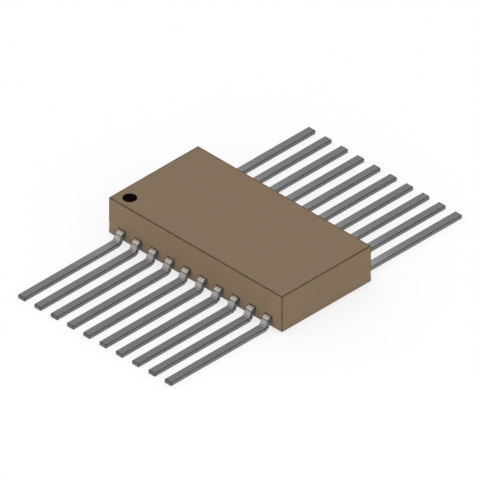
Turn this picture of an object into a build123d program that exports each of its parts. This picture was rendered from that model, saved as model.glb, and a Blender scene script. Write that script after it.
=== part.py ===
from build123d import *
import math
import os

# Twenty-lead ceramic flat pack for a programmable logic device, in millimetres.
# The origin is under the middle of the package, on the plane that the lead feet stand on.
# X runs along the two rows of leads, Y across them and Z up. Lead 1 is at the -X, -Y corner,
# and the leads count anticlockwise when seen from above.

# Lead rows
leads_per_row = 10
lead_pitch = 1.27
lead_width = 0.51
lead_thickness = 0.23
lead_reach = 7.865           # from the side of the body to the tip of the lead
lead_level = 0.43            # from the underside of the body to the underside of the lead's root

# Lead forming
root_run = 0.02              # straight stub between the body and the first bend
bend_angle = 65.0
shoulder_inner_radius = 0.08
heel_inner_radius = 0.11
stand_off = 0.10             # the feet hold the body this far above the board

# Body
body_width = 6.96
body_height = 2.37
end_margin = 1.04            # from the centre of the last lead to the end of the body
corner_radius = 0.06         # upright corners
rim_radius = 0.04            # edges of the top and of the underside

# Sealing glass
glass_under_lead = 0.05
glass_over_lead = 0.05
glass_lip = 0.06             # from the edge of the die recess to the edge of the glass
meniscus_spread = 0.04       # the glass creeps this far over the body's side round each lead
meniscus_lip = 0.008         # its thickness where it ends, at the first bend

# Die, its bed and its recess in the base
die_length = 3.40
die_width = 2.10
die_thickness = 0.28
attach_thickness = 0.03
attach_border = 0.06         # the bed shows this far round the die
die_clearance = 0.30         # from the side of the die to the wall of the recess
recess_depth = 0.10
recess_corner_radius = 0.20

# Cavity under the cap
shelf_length = 1.10          # from the recess to the cavity's wall, at the two ends
shelf_width = 0.90           # the same, along the two sides
cavity_depth = 0.70
cavity_corner_radius = 0.50
cavity_roof_radius = 0.15

# Lead fingers inside the seal
end_fingers = 2              # fingers of a row that turn round each end of the cavity
finger_width = 0.30
finger_setback = 0.20        # from the edge of the recess to the tip of a finger
knee_depth = 0.70            # a lead runs straight into the body this far, then slants
tip_run = 0.45               # straight run behind a tip on a long side
end_run = 1.15               # each finger at an end turns this far outside the one before it
side_tip_corner = 0.60       # from the cavity's end to the last tip on a long side
end_tip_corner = 1.245       # from the cavity's side to the first tip on an end

# Bond wires
wire_diameter = 0.032
loop_height = 0.22           # the wire's arch stands this far above its two feet
foot_length = 0.07
foot_width = 0.05
foot_height = 0.02
pad_inset = 0.12             # from the edge of the die to the middle of a pad
side_pad_corner = 0.25       # from the corner of the die to the last pad on a long edge
end_pad_corner = 0.42        # from the corner of the die to the first pad on a short edge
finger_foot_setback = 0.18   # from the tip of the finger to the middle of the wire's foot

# Ink dot beside lead 1
dot_diameter = 0.84
dot_end_inset = 0.85         # from the end of the body to the middle of the dot
dot_side_inset = 0.785       # from the side of the body to the middle of the dot
dot_thickness = 0.02

# Heights
base_bottom = stand_off
lead_bottom = base_bottom + lead_level
lead_top = lead_bottom + lead_thickness
base_top = lead_bottom - glass_under_lead
cap_bottom = lead_top + glass_over_lead
cap_top = base_bottom + body_height
recess_floor = base_top - recess_depth
die_bottom = recess_floor + attach_thickness
die_top = die_bottom + die_thickness

# Plan sizes
body_length = (leads_per_row - 1) * lead_pitch + 2 * end_margin
recess_length = die_length + 2 * die_clearance
recess_width = die_width + 2 * die_clearance
cavity_length = recess_length + 2 * shelf_length
cavity_width = recess_width + 2 * shelf_width
side_face = body_width / 2

side_fingers = leads_per_row - 2 * end_fingers
end_tips = 2 * end_fingers
side_tip_pitch = (cavity_length - 2 * side_tip_corner) / (side_fingers - 1)
end_tip_pitch = (cavity_width - 2 * end_tip_corner) / (end_tips - 1)
side_pad_pitch = (die_length - 2 * side_pad_corner) / (side_fingers - 1)
end_pad_pitch = (die_width - 2 * end_pad_corner) / (end_tips - 1)


def block(length, width, bottom, top, radius):
    """An upright block about the Z axis, with rounded upright corners."""
    outline = RectangleRounded(length, width, radius)
    return extrude(Pos(0, 0, bottom) * outline, top - bottom)


def edges_at(solid, height):
    """The edges that lie level at one height."""
    return solid.edges().filter_by_position(Axis.Z, height, height)


def make_base():
    """The pressed ceramic base, with the shallow recess that the die lies in."""
    slab = block(body_length, body_width, base_bottom, base_top, corner_radius)
    slab = fillet(edges_at(slab, base_bottom), rim_radius)
    recess = block(recess_length, recess_width, recess_floor, base_top, recess_corner_radius)
    return slab - recess


def make_cap():
    """The pressed ceramic cap, hollow underneath so that it clears the wires."""
    slab = block(body_length, body_width, cap_bottom, cap_top, corner_radius)
    slab = fillet(edges_at(slab, cap_top), rim_radius)
    roof = cap_bottom + cavity_depth
    cavity = block(cavity_length, cavity_width, cap_bottom, roof, cavity_corner_radius)
    cavity = fillet(edges_at(cavity, roof), cavity_roof_radius)
    return slab - cavity


def make_glass(leads):
    """The sealing glass: a bed under the fingers, and a frame round them that carries the cap."""
    bed = block(body_length, body_width, base_top, lead_bottom, corner_radius)
    bed_hole = block(
        recess_length + 2 * glass_lip,
        recess_width + 2 * glass_lip,
        base_top,
        lead_bottom,
        recess_corner_radius + glass_lip,
    )
    frame = block(body_length, body_width, lead_bottom, cap_bottom, corner_radius)
    frame_hole = block(cavity_length, cavity_width, lead_bottom, cap_bottom, cavity_corner_radius)
    menisci = both_rows(make_meniscus)
    return (bed - bed_hole) + (frame - frame_hole) + menisci - leads


def make_meniscus(place):
    """The small skirt of glass round a lead's root on the +Y side, before the lead is cut out."""
    root = Plane(
        origin=(place * lead_pitch, side_face, (lead_bottom + lead_top) / 2),
        x_dir=(-1, 0, 0),
        z_dir=(0, 1, 0),
    )
    wide = Rectangle(lead_width + 2 * meniscus_spread, lead_thickness + 2 * meniscus_spread)
    narrow = Rectangle(lead_width + 2 * meniscus_lip, lead_thickness + 2 * meniscus_lip)
    return loft([root * wide, root.offset(root_run) * narrow])


def formed_edge(start_height, shoulder_radius, heel_radius):
    """One edge of a lead's side view: the stub, both bends, the slope between and the foot."""
    turn = math.radians(bend_angle)
    bends_drop = (shoulder_radius + heel_radius) * (1 - math.cos(turn))
    slope_length = (stand_off + lead_level - bends_drop) / math.sin(turn)
    slope_way = Vector(math.cos(turn), -math.sin(turn))

    stub = Line((0, start_height), (root_run, start_height))
    shoulder = JernArc(stub @ 1, (1, 0), shoulder_radius, -bend_angle)
    slope = Line(shoulder @ 1, shoulder @ 1 + slope_way * slope_length)
    heel = JernArc(slope @ 1, slope_way, heel_radius, bend_angle)
    foot = Line(heel @ 1, (lead_reach, (heel @ 1).Y))
    return [stub, shoulder, slope, heel, foot]


def make_formed_run(x):
    """The part of a lead outside the body, on the +Y side, centred at x."""
    under = formed_edge(lead_bottom, shoulder_inner_radius, heel_inner_radius + lead_thickness)
    over = formed_edge(lead_top, shoulder_inner_radius + lead_thickness, heel_inner_radius)
    root_end = Line(under[0] @ 0, over[0] @ 0)
    tip_end = Line(under[-1] @ 1, over[-1] @ 1)
    side_view = make_face(Curve() + under + over + [root_end, tip_end])
    plane = Plane(origin=(x - lead_width / 2, side_face, 0), x_dir=(0, 1, 0), z_dir=(1, 0, 0))
    return extrude(plane * side_view, lead_width)


def finger_route(place):
    """The middle line of a finger in plan on the +Y side, from the body's side to its tip.

    place counts from the middle of the row: -4.5 to 4.5 in a row of ten.
    """
    side = math.copysign(1, place)
    rank = abs(place) + 0.5
    x = place * lead_pitch
    knee = (x, side_face - knee_depth)
    if rank <= side_fingers / 2:
        tip_x = side * (rank - 0.5) * side_tip_pitch
        tip_y = recess_width / 2 + finger_setback
        elbow = (tip_x, tip_y + tip_run)
    else:
        turn = rank - side_fingers / 2
        tip_x = side * (recess_length / 2 + finger_setback)
        tip_y = (end_fingers - turn + 0.5) * end_tip_pitch
        elbow = (tip_x + side * turn * end_run, tip_y)
    return [(x, side_face), knee, elbow, (tip_x, tip_y)]


def ribbon(route, widths):
    """A flat strip in plan along a route, mitred at its corners, with a width at each point."""
    points = [Vector(x, y) for x, y in route]
    ways = [(after - before).normalized() for before, after in zip(points, points[1:])]
    sides = [Vector(-way.Y, way.X) for way in ways]
    befores = [sides[0]] + sides
    afters = sides + [sides[-1]]
    left = []
    right = []
    for point, before, after, width in zip(points, befores, afters, widths):
        mitre = (before + after) / (1 + before.dot(after))
        left.append(point + mitre * (width / 2))
        right.append(point - mitre * (width / 2))
    return make_face(Polyline(*left, *reversed(right), close=True))


def make_finger(place):
    """The flat part of a lead inside the seal, which narrows towards its tip."""
    widths = [lead_width, lead_width, finger_width, finger_width]
    strip = ribbon(finger_route(place), widths)
    return extrude(Pos(0, 0, lead_bottom) * strip, lead_thickness)


def make_lead(place):
    """One lead, stamped from strip and formed: its finger and its outer run are one piece."""
    return make_formed_run(place * lead_pitch) + make_finger(place)


def pad_centre(place):
    """The middle of the bond pad that a lead's wire starts from, in plan on the +Y side."""
    side = math.copysign(1, place)
    rank = abs(place) + 0.5
    if rank <= side_fingers / 2:
        return Vector(side * (rank - 0.5) * side_pad_pitch, die_width / 2 - pad_inset)
    turn = rank - side_fingers / 2
    y = (end_fingers - turn + 0.5) * end_pad_pitch
    return Vector(side * (die_length / 2 - pad_inset), y)


def finger_foot_centre(place):
    """The middle of the wire's foot on the lead's finger, in plan on the +Y side."""
    route = finger_route(place)
    tip = Vector(*route[-1])
    elbow = Vector(*route[-2])
    return tip + (elbow - tip).normalized() * finger_foot_setback


def make_wire(place):
    """A bond wire: one arch from a wedge foot on the die to a wedge foot on the finger."""
    pad = pad_centre(place)
    landing = finger_foot_centre(place)
    way = (landing - pad).normalized()
    span = (landing - pad).length
    radius = wire_diameter / 2
    heel = foot_length / 2 - radius

    start = (heel, die_top + radius)
    end = (span - heel, lead_top + radius)
    crown = (span / 2, max(die_top, lead_top) + loop_height)
    side_view = Plane(origin=pad, x_dir=way, z_dir=Vector(way.Y, -way.X, 0))
    arch = side_view * ThreePointArc(start, crown, end)
    section = Plane(origin=arch @ 0, z_dir=arch % 0) * Circle(radius)
    middle = Axis(arch.arc_center, -side_view.z_dir)
    wire = revolve(section, middle, math.degrees(arch.length / arch.radius))
    for distance, height in ((0, die_top), (span, lead_top)):
        foot = Box(foot_length, foot_width, foot_height, align=(Align.CENTER, Align.CENTER, Align.MIN))
        turn = math.degrees(math.atan2(way.Y, way.X))
        centre = pad + way * distance
        wire += Pos(centre.X, centre.Y, height) * Rot(0, 0, turn) * foot
    return wire


def make_dot():
    """The ink dot that marks lead 1."""
    disc = Pos(0, 0, cap_top) * Circle(dot_diameter / 2)
    place = Pos(dot_end_inset - body_length / 2, dot_side_inset - body_width / 2)
    return place * extrude(disc, dot_thickness)


def both_rows(make):
    """Makes a piece for every lead, in lead order: the +Y row is the -Y row turned half round."""
    last = (leads_per_row - 1) / 2
    back_row = [make(last - count) for count in range(leads_per_row)]
    front_row = [Rot(0, 0, 180) * piece for piece in back_row]
    return front_row + back_row


leads = both_rows(make_lead)
wires = both_rows(make_wire)

nodes = {
    "ceramic_base": make_base(),
    "seal_glass": make_glass(leads),
    "ceramic_cap": make_cap(),
    "pin_one_dot": make_dot(),
    "die_attach": block(
        die_length + 2 * attach_border,
        die_width + 2 * attach_border,
        recess_floor,
        die_bottom,
        attach_border,
    ),
    "die": Pos(0, 0, die_bottom)
    * Box(die_length, die_width, die_thickness, align=(Align.CENTER, Align.CENTER, Align.MIN)),
}
for number, (lead, wire) in enumerate(zip(leads, wires), start=1):
    nodes[f"lead_{number:02d}"] = lead
    nodes[f"bond_wire_{number:02d}"] = wire

os.makedirs("parts", exist_ok=True)
for name, shape in nodes.items():
    export_step(shape, f"parts/{name}.step")
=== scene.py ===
"""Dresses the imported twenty-lead ceramic flat pack: ceramic, sealing glass, leads, ink and stage."""

import math

import bpy
import numpy as np
from bpy.props import FloatProperty, FloatVectorProperty, IntProperty, PointerProperty
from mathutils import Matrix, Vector


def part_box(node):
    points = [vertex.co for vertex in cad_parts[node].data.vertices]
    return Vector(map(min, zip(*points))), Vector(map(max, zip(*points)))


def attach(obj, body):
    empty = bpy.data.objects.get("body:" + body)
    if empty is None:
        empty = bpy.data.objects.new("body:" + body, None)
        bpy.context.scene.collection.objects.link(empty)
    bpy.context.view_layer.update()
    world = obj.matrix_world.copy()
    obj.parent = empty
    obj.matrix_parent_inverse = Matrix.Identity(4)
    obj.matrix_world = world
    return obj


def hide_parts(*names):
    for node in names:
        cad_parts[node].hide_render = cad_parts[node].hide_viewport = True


bl_info = {
    "name": "Ceramic flat pack",
    "version": (1, 0, 0),
    "blender": (4, 5, 0),
    "location": "View3D > Sidebar > Flat Pack",
    "description": "Ceramic, glass, leads, ink and stage for a twenty-lead flat pack",
    "category": "Object",
}

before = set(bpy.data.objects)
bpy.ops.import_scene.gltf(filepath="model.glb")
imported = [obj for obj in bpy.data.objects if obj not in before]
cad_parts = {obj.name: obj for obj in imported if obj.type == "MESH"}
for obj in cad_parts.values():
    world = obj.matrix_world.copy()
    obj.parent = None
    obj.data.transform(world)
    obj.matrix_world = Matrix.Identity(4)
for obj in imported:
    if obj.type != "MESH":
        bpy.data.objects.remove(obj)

MM = 0.001
BODY = "root"

# Edges that turn by more than this stay sharp
SHARP_ANGLE = math.radians(50)

# Rings across the body's flat faces and across its hollows, as shares of their outlines
FACE_SHARES = (0.2, 0.4, 0.6, 0.8, 0.93)
HOLLOW_SHARES = (0.2, 0.5, 0.9)


def shown(red, green, blue):
    """A display colour, 0 to 255 a channel, as the linear colour that Blender's sockets hold: by the
    usual display curve, which is straight near black and a power of 2.4 above."""
    channels = np.array([red, green, blue]) / 255
    low = channels / 12.92
    high = ((channels + 0.055) / 1.055) ** 2.4
    return tuple(float(value) for value in np.where(channels <= 0.04045, low, high))


def length_property(name, description, millimetres):
    """A length in metres, whose default is written in millimetres."""
    default = millimetres * MM
    return FloatProperty(name=name, description=description, default=default, unit="LENGTH", precision=6)


def angle_property(name, description, degrees):
    """An angle, whose default is written in degrees."""
    return FloatProperty(
        name=name, description=description, default=math.radians(degrees), subtype="ANGLE"
    )


def share_property(name, description, default):
    """A share, from 0 for none to 1 for all."""
    return FloatProperty(name=name, description=description, default=default, subtype="FACTOR")


def color_property(name, description, red, green, blue):
    """A colour whose default is written as it shows on a display."""
    return FloatVectorProperty(
        name=name,
        description=description,
        default=shown(red, green, blue),
        subtype="COLOR",
        min=0.0,
        max=1.0,
    )


class FlatPackCeramic(bpy.types.PropertyGroup):
    corner_radius: length_property("Corner radius", "Radius of the body's upright corners", 0.034)
    rim_radius: length_property("Rim radius", "Radius of the rims of the top and underside", 0.03)
    corner_band: length_property("Corner band", "How far the edge tone reaches past an upright corner", 0.024)
    edge_band: length_property("Edge band", "How far the edge tone reaches down a side from its rim", 0.032)
    rim_band: length_property("Rim band", "How far the edge tone reaches in over a flat", 0.078)
    edge_strength: share_property("Edge strength", "Share of the edge tone along the body's edges", 0.95)
    recess_depth: length_property("Recess depth", "Depth of the die's recess in the base", 0.10)
    recess_corner: length_property("Recess corner", "Corner radius of the die's recess", 0.20)
    recess_margin: length_property("Recess margin", "From the die to the wall of its recess", 0.30)
    shelf_length: length_property("Shelf length", "From the recess to the cavity's end", 1.10)
    shelf_width: length_property("Shelf width", "From the recess to the cavity's side", 0.90)
    cavity_depth: length_property("Cavity depth", "Depth of the hollow in the cap", 0.70)
    cavity_corner: length_property("Cavity corner", "Corner radius of the hollow in the cap", 0.50)
    roof_radius: length_property("Roof radius", "Radius round the roof of the hollow", 0.15)
    color: color_property("Ceramic", "Fired ceramic", 129, 110, 87)
    edge_color: color_property("Ceramic edge", "Darker tone along the pressed edges", 66, 47, 28)
    glass_color: color_property("Sealing glass", "Fused glass between base and cap", 127, 108, 85)
    skirt_spread: length_property("Skirt spread", "How far the glass spreads on the body above a lead", 0.06)
    skirt_side: length_property("Skirt side", "How far the glass spreads on the body beside a lead", 0.046)
    skirt_climb: length_property("Skirt climb", "How far the glass climbs along a lead", 0.032)
    skirt_overlap: length_property("Skirt overlap", "How deep the skirt sits in the lead and the body", 0.004)
    # Painted shadow: the skirt is coloured far darker than the sealing glass, standing in for the shade at
    # each lead's root.
    skirt_shadow_color: color_property("Glass skirt and painted shadow", "Glass that climbs round a lead's root", 56, 47, 38)


class FlatPackLeads(bpy.types.PropertyGroup):
    per_row: IntProperty(name="Leads in a row", description="Leads on each long side", default=10, min=2)
    end_fingers: IntProperty(
        name="End fingers",
        description="Fingers of a row that turn round each end of the cavity",
        default=2,
        min=1,
    )
    pitch: length_property("Pitch", "From one lead to the next", 1.27)
    width: length_property("Width", "Width of a lead outside the body", 0.51)
    thickness: length_property("Thickness", "Thickness of the strip", 0.23)
    reach: length_property("Reach", "From the body's side to the lead's tip", 7.865)
    root_run: length_property("Root run", "Straight stub outside the body", 0.02)
    bend_angle: angle_property("Bend angle", "Slope of the lead between its two bends", 65)
    shoulder_radius: length_property("Shoulder radius", "Inside radius of the upper bend", 0.08)
    heel_radius: length_property("Heel radius", "Inside radius of the lower bend", 0.11)
    finger_width: length_property("Finger width", "Width of the finger inside the seal", 0.30)
    finger_setback: length_property("Finger setback", "From the recess to a finger's tip", 0.20)
    knee_depth: length_property("Knee depth", "Straight run inside the body", 0.70)
    tip_run: length_property("Tip run", "Straight run behind a tip on a long side", 0.45)
    end_run: length_property("End run", "Step outwards from one end finger's turn to the next", 1.15)
    side_tip_corner: length_property("Side tip corner", "From the cavity's end to the last tip", 0.60)
    end_tip_corner: length_property("End tip corner", "From the cavity's side to the first tip", 1.245)
    rolled_radius: length_property("Rolled radius", "Radius of the edges where the die entered", 0.020)
    burr_radius: length_property("Burr radius", "Radius of the edges where the die left", 0.010)
    edge_band: length_property("Edge band", "How far the tarnish reaches past an edge", 0.013)
    edge_strength: share_property("Edge strength", "Share of the tarnish along the edges", 0.9)
    witness: length_property("Witness line", "Half width of the former's line across a bend", 0.036)
    heel_line: length_property("Heel line", "From the start of the heel to the former's line", 0.03)
    heel_witness: length_property("Heel line width", "Half width of the line at the start of the heel", 0.06)
    witness_strength: share_property("Witness strength", "Share of the tarnish in the lines", 0.95)
    # The foot's painted highlight fades over this distance. Near the body it lifts the foot, which the body's
    # reflection would otherwise render darker.
    highlight_fade: length_property("Highlight fade", "Distance over which the foot's burnish fades", 1.6)
    color: color_property("Lead", "Plated flat of a lead", 128, 128, 129)
    # Painted light: the sheared sides are coloured lighter than the flats, so that their less lit faces
    # render as bright as the flats.
    side_with_painted_light_color: color_property("Sheared side with painted light", "Side that the stamping die cut", 138, 138, 139)
    # Painted shade: the cut tip's face is coloured darker, so that the face which the key lamp lights renders
    # darker. The cut itself is bare alloy.
    cut_tip_shade_color: color_property("Cut tip shade", "Bare alloy where the tip was cut off", 118, 118, 119)
    # Painted highlight: the bends are coloured much lighter than the flats, standing in for the light on the
    # bends.
    bend_highlight_color: color_property("Bend", "Plating that the former burnished", 189, 190, 192)
    # Painted highlight with a warm tint, on the lead near its root.
    warm_highlight_color: color_property("Warm highlight tint", "Plating warmed by the seal's firing", 195, 188, 180)
    edge_color: color_property("Sheared edge", "Tarnish along the stamped edges", 42, 42, 44)


class FlatPackInk(bpy.types.PropertyGroup):
    ridge: length_property("Ridge", "Height of the dried rim above the dot's middle", 0.003)
    wobble: share_property("Wobble", "Share of the radius by which the dot's edge wanders", 0.012)
    color: color_property("Ink", "Black epoxy ink", 14, 4, 4)


class FlatPackInside(bpy.types.PropertyGroup):
    silicon_color: color_property("Silicon", "Passivated face of the die", 74, 84, 112)
    pad_color: color_property("Pad", "Bond pads and tracks on the die", 196, 198, 202)
    bed_color: color_property("Bed", "Silver-filled glass under the die", 168, 165, 158)
    wire_color: color_property("Wire", "Bond wire", 214, 216, 220)
    pad_inset: length_property("Pad inset", "From the die's edge to the middle of a pad", 0.12)
    pad_size: length_property("Pad size", "Side of a bond pad", 0.11)
    side_pad_corner: length_property("Side pad corner", "From the die's corner to a long edge's pad", 0.25)
    end_pad_corner: length_property("End pad corner", "From the die's corner to a short edge's pad", 0.42)


class FlatPackStage(bpy.types.PropertyGroup):
    picture_width: length_property("Picture width", "Real width that the camera takes in", 26.478)
    aim: FloatVectorProperty(
        name="Aim",
        description="Point in the middle of the picture",
        default=(0, 0, 1.226 * MM),
        unit="LENGTH",
        precision=6,
    )
    azimuth: angle_property("Azimuth", "Camera's turn round the part; 0 looks along +Y", 45)
    elevation: angle_property(
        "Elevation",
        "Camera's height above the horizon, which makes the view isometric",
        math.degrees(math.atan(math.sqrt(0.5))),
    )
    camera_distance: length_property("Camera distance", "From the aim to the camera", 150)
    floor_size: length_property("Floor size", "Side of the square floor", 3000)
    floor_gap: length_property("Floor gap", "Air that the feet's roughness leaves over the floor", 0.004)
    floor_color: color_property("Floor", "Pale floor", 238, 238, 238)
    floor_glow: share_property(
        "Floor glow", "Share of the floor's white that the camera sees without any lamp", 0.7
    )
    floor_share: share_property(
        "Floor share", "Share of the floor's white that the light gives and a shadow takes", 0.31
    )
    horizon_light: FloatProperty(name="Horizon light", description="World light at eye level", default=1.24)
    zenith_light: FloatProperty(name="Zenith light", description="World light from above", default=0.65)
    key_power: FloatProperty(
        name="Key power", description="Power of the soft lamp", default=0.44, unit="POWER"
    )
    key_size: length_property("Key size", "Side of the square soft lamp", 300)
    key_distance: length_property("Key distance", "From the part to the soft lamp", 400)
    key_way: FloatVectorProperty(
        name="Key direction",
        description="From the part towards the soft lamp",
        default=(0.36, -0.79, 0.50),
        subtype="DIRECTION",
    )


# Surfaces


def quarter_turn(steps):
    """Angles in even steps from 0 to a right angle, both included."""
    return np.linspace(0, math.pi / 2, steps)


def facing_out(points, quads, triangles):
    """The faces of a closed surface as a list, turned over if the volume inside comes out negative.
    Six times that volume is the sum over the surface's triangles of the first corner times the
    cross product of the other two."""
    corners = points[np.concatenate([quads[:, [0, 1, 2]], quads[:, [0, 2, 3]], triangles])]
    volume = np.einsum("ij,ij->i", corners[:, 0], np.cross(corners[:, 1], corners[:, 2])).sum()
    order = slice(None, None, -1 if volume < 0 else 1)
    return quads[:, order].tolist() + triangles[:, order].tolist()


def quads_between(stations, around, joins):
    """Quads between each of the first joins rings and the ring after it, counting round."""
    station, step = np.meshgrid(np.arange(joins), np.arange(around), indexing="ij")
    here = station * around + step
    beside = station * around + (step + 1) % around
    above = (station + 1) % stations * around + step
    across = (station + 1) % stations * around + (step + 1) % around
    return np.stack([here, beside, across, above], axis=-1).reshape(-1, 4)


def looped_surface(rings):
    """Points and faces of a loop of rings whose last ring joins its first."""
    stations, around = rings.shape[:2]
    points = rings.reshape(-1, 3)
    quads = quads_between(stations, around, stations)
    return points, facing_out(points, quads, np.empty((0, 3), dtype=int))


def closed_surface(rings, first_pole, last_pole):
    """Points and faces of a closed tube of rings: quads between neighbouring rings, and a fan of
    triangles from each end ring to its pole."""
    stations, around = rings.shape[:2]
    points = np.concatenate([rings.reshape(-1, 3), [first_pole, last_pole]])
    quads = quads_between(stations, around, stations - 1)
    step = np.arange(around)
    after = (step + 1) % around
    last = (stations - 1) * around
    first_fan = np.stack([np.full(around, stations * around), after, step], axis=-1)
    last_fan = np.stack([np.full(around, stations * around + 1), last + step, last + after], axis=-1)
    return points, facing_out(points, quads, np.concatenate([first_fan, last_fan]))


def with_poles(values, first=0, last=0):
    """A mask's values at a closed surface's rings and at its two poles."""
    return np.append(values.ravel(), [first, last])


def place_object(name, data):
    """A new object at the origin, in the scene."""
    thing = bpy.data.objects.new(name, data)
    bpy.context.scene.collection.objects.link(thing)
    return thing


def add_piece(name, points, faces, material, nodes, masks):
    """A smooth mesh object at the origin, with a value or a vector at each point for every named mask."""
    mesh = bpy.data.meshes.new(name)
    mesh.from_pydata(points.tolist(), [], faces)
    mesh.materials.append(material)
    for key, values in masks.items():
        kind, field = ("FLOAT_VECTOR", "vector") if values.ndim == 2 else ("FLOAT", "value")
        attribute = mesh.attributes.new(key, kind, "POINT")
        attribute.data.foreach_set(field, values.astype(np.float32).ravel())
    mesh.shade_smooth()
    mesh.set_sharp_from_angle(angle=SHARP_ANGLE)
    mesh.update()
    piece = place_object(name, mesh)
    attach(piece, BODY)
    if nodes:
        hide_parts(*nodes)


def rounded_outline(half_x, half_y, radius, support):
    """Points round a rounded rectangle, anticlockwise from its +X side: each corner is a quarter
    circle, and each side runs in cosine steps between two points one support away from its arcs.
    Returns the points and a mask that is 1 on the arcs and 0 on the sides."""
    arc_points = 9
    side_points = 17
    centres = np.array([(1, 1), (-1, 1), (-1, -1), (1, -1)]) * (half_x - radius, half_y - radius)
    steps = 0.5 - 0.5 * np.cos(np.linspace(0, math.pi, side_points))
    points = []
    for corner in range(4):
        angles = quarter_turn(arc_points) + corner * math.pi / 2
        spokes = radius * np.stack([np.cos(angles), np.sin(angles)], axis=-1)
        way = np.array([-math.sin(angles[-1]), math.cos(angles[-1])])
        start = centres[corner] + spokes[-1] + way * support
        end = centres[(corner + 1) % 4] + spokes[-1] - way * support
        points += [centres[corner] + spokes, start + (end - start) * steps[:, None]]
    return np.concatenate(points), np.tile(np.repeat([1.0, 0.0], [arc_points, side_points]), 4)


def pressed_surface(ceramic, profile):
    """A pressed block from its profile, a list of (half length, half width, corner radius, height,
    rim mask). Every ring is a rounded rectangle with as many points, so the surface between two
    rings is ruled, and the first and last ring close to the block's axis. The corner band shrinks on
    a ring whose half width is under four times the corner with its band. Returns the points, the
    faces and the larger of the rim and corner masks at each point; a rim mask of -1 drops both."""
    rings = []
    masks = []
    for half_x, half_y, radius, height, rim in profile:
        room = half_y / (4 * (radius + ceramic.corner_band))
        outline, corner = rounded_outline(half_x, half_y, radius, ceramic.corner_band * min(1, room))
        rings.append(np.column_stack([outline, np.full(len(outline), height)]))
        masks.append(np.maximum(corner * (rim >= 0), max(rim, 0)))
    points, faces = closed_surface(np.array(rings), (0, 0, profile[0][3]), (0, 0, profile[-1][3]))
    return points, faces, with_poles(np.array(masks))


def flat_profile(half_x, half_y, radius, height, shares):
    """Rings across a flat face: the outline shrunk towards its middle by each share."""
    return [(half_x * share, half_y * share, radius * share, height, -1) for share in shares]


def rounded_profile(half_x, half_y, corner, insets, heights, rim):
    """Rings round a rounded edge: the outline drawn in by each inset at each height, with corners
    that tighten by 0.6 of the inset."""
    return [
        (half_x - inset, half_y - inset, corner - 0.6 * inset, height, rim)
        for inset, height in zip(insets, heights)
    ]


def rim_profile(ceramic, half_x, half_y, height, up):
    """Rings round a rim: a quarter circle from the flat at a height to the side, with a plain ring
    one band away at each end. up is 1 for a top rim and -1 for the rim of an underside."""
    corner = ceramic.corner_radius
    radius = ceramic.rim_radius
    flat = radius + ceramic.rim_band
    turns = quarter_turn(7)
    insets = radius * (1 - np.sin(turns))
    heights = height - up * radius * (1 - np.cos(turns))
    inner = (half_x - flat, half_y - flat, corner / 2, height, -1)
    outer = (half_x, half_y, corner, height - up * (radius + ceramic.edge_band), 0)
    return [inner, *rounded_profile(half_x, half_y, corner, insets, heights, 1), outer]


def roof_profile(half_x, half_y, corner, radius, roof):
    """Rings round a hollow's roof: a quarter circle from its wall to the roof."""
    turns = quarter_turn(7)
    insets = radius * (1 - np.cos(turns))
    heights = roof - radius + radius * np.sin(turns)
    return rounded_profile(half_x, half_y, corner, insets, heights, -1)


def hollow_sizes(ceramic):
    """Half length and half width of the die's recess and of the cavity, from the die in the frame."""
    low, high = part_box("die")
    recess = ((high[0] - low[0]) / 2 + ceramic.recess_margin, (high[1] - low[1]) / 2 + ceramic.recess_margin)
    cavity = (recess[0] + ceramic.shelf_length, recess[1] + ceramic.shelf_width)
    return recess, cavity


def cap_surface(ceramic):
    """The cap: its profile runs from the middle of the top out over the rim, down the side, in under
    the seal and up into the hollow to the middle of its roof."""
    low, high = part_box("ceramic_cap")
    half_x, half_y, top = high
    cavity = hollow_sizes(ceramic)[1]
    roof = low[2] + ceramic.cavity_depth
    roof_size = (cavity[0] - ceramic.roof_radius, cavity[1] - ceramic.roof_radius)
    profile = flat_profile(half_x, half_y, ceramic.corner_radius, top, FACE_SHARES)
    profile += rim_profile(ceramic, half_x, half_y, top, 1)
    profile += [(half_x, half_y, ceramic.corner_radius, low[2], 0)]
    profile += [(*cavity, ceramic.cavity_corner, low[2], -1)]
    profile += roof_profile(*cavity, ceramic.cavity_corner, ceramic.roof_radius, roof)
    profile += flat_profile(*roof_size, ceramic.cavity_corner, roof, HOLLOW_SHARES[::-1])
    return pressed_surface(ceramic, profile)


def base_surface(ceramic):
    """The base: its profile runs from the middle of the recess up its wall, out over the seal, down
    the side and round the rim to the middle of the underside."""
    low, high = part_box("ceramic_base")
    half_x, half_y, top = high
    recess = hollow_sizes(ceramic)[0]
    floor = top - ceramic.recess_depth
    profile = flat_profile(*recess, ceramic.recess_corner, floor, HOLLOW_SHARES)
    profile += [(*recess, ceramic.recess_corner, floor, -1), (*recess, ceramic.recess_corner, top, -1)]
    profile += [(half_x, half_y, ceramic.corner_radius, top, 0)]
    profile += reversed(rim_profile(ceramic, half_x, half_y, low[2], -1))
    profile += flat_profile(half_x, half_y, ceramic.corner_radius, low[2], FACE_SHARES[::-1])
    return pressed_surface(ceramic, profile)


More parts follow.
